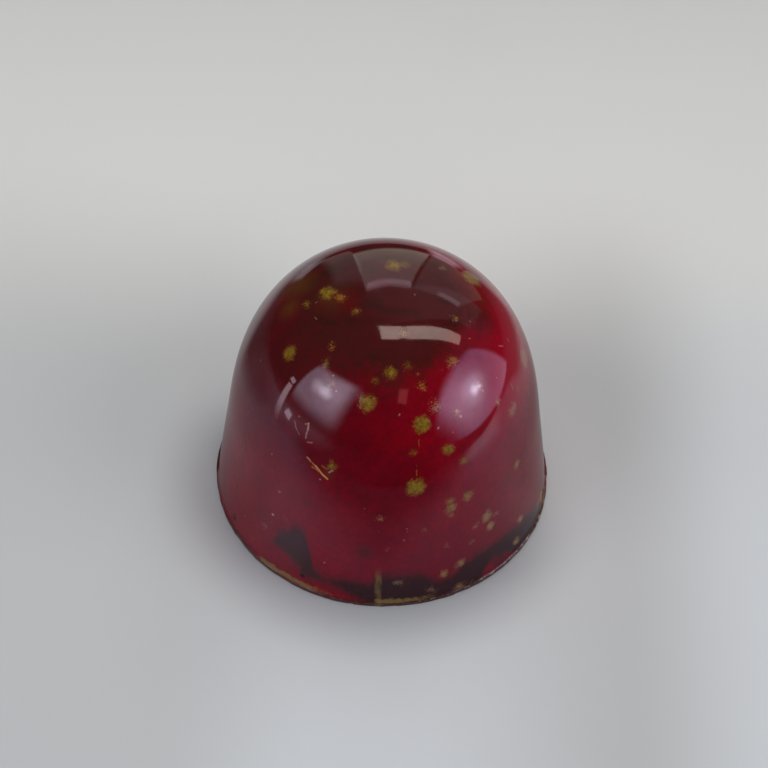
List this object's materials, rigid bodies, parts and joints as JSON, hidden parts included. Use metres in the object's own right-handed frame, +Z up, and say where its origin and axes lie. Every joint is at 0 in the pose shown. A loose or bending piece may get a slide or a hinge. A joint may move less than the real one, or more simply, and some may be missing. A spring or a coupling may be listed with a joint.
{
  "type": "chocolate praline",
  "caption": "Moulded chocolate praline: tall round dome with a broad crown on a thin scraped foot, glossy red with yellow flecks.",
  "frame": {"origin": "middle of the flat underside, on the dome's axis", "axes": "+Z up along the dome's axis; -Y is the front, the side with the large yellow flecks"},
  "size_m": [0.0289, 0.0289, 0.0228],
  "materials": {
    "coloured_chocolate": "gloss"
  },
  "bodies": {
    "root": {"praline": "coloured_chocolate"}
  },
  "joints": []
}
